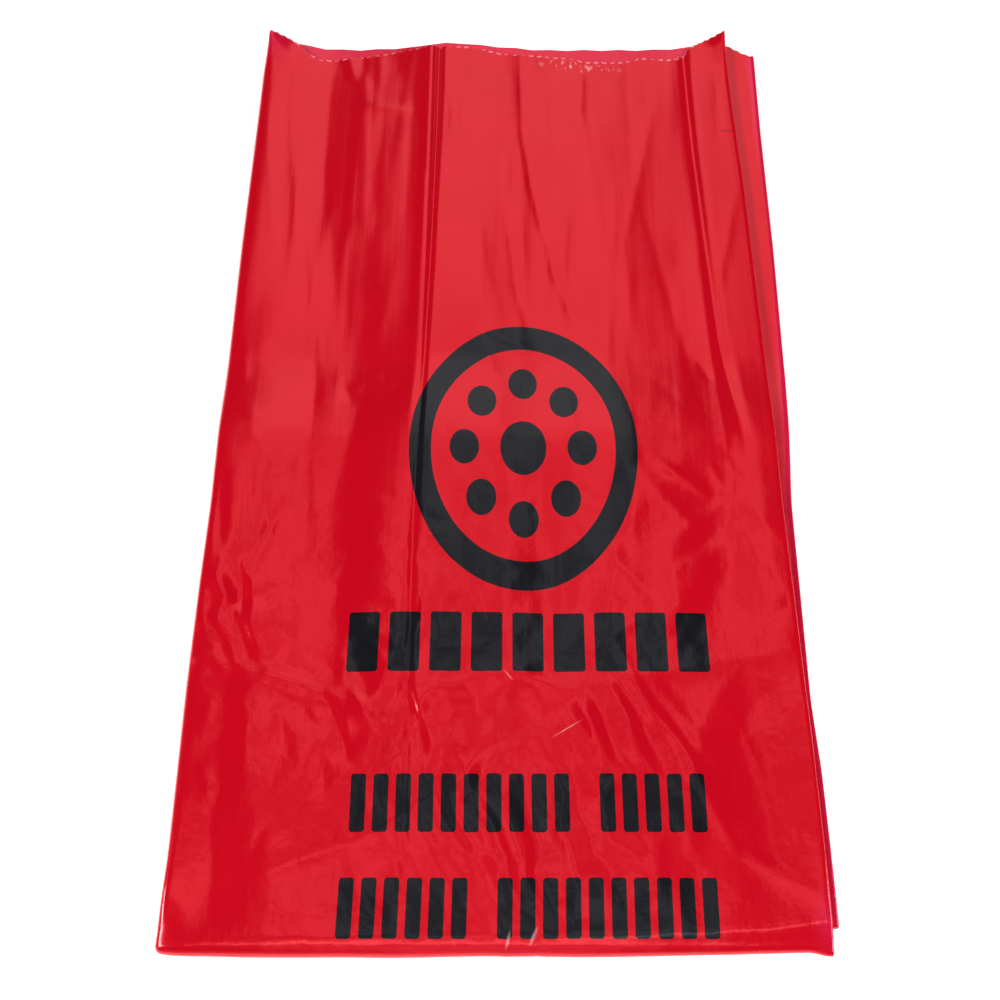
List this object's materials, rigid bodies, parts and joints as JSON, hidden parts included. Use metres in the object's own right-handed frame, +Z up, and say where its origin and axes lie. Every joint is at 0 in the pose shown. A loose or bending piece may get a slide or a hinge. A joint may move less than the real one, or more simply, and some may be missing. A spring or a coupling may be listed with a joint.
{
  "type": "biohazard waste bag",
  "caption": "Red plastic-film waste bag, open at a perforated mouth and sealed across the bottom, stored folded flat.",
  "frame": {"origin": "centre of the bounding box's underside, on the floor that the folded bag lies on", "axes": "+X across the pack, towards the tube's two free edges, +Y along the pack towards the bag's mouth, +Z up, out of the front face"},
  "size_m": [0.3104, 0.56, 0.012],
  "materials": {
    "red_film": "glossy blown polyethylene film, pigmented red and slightly translucent"
  },
  "bodies": {
    "root": {"bag": "red_film"}
  },
  "joints": []
}
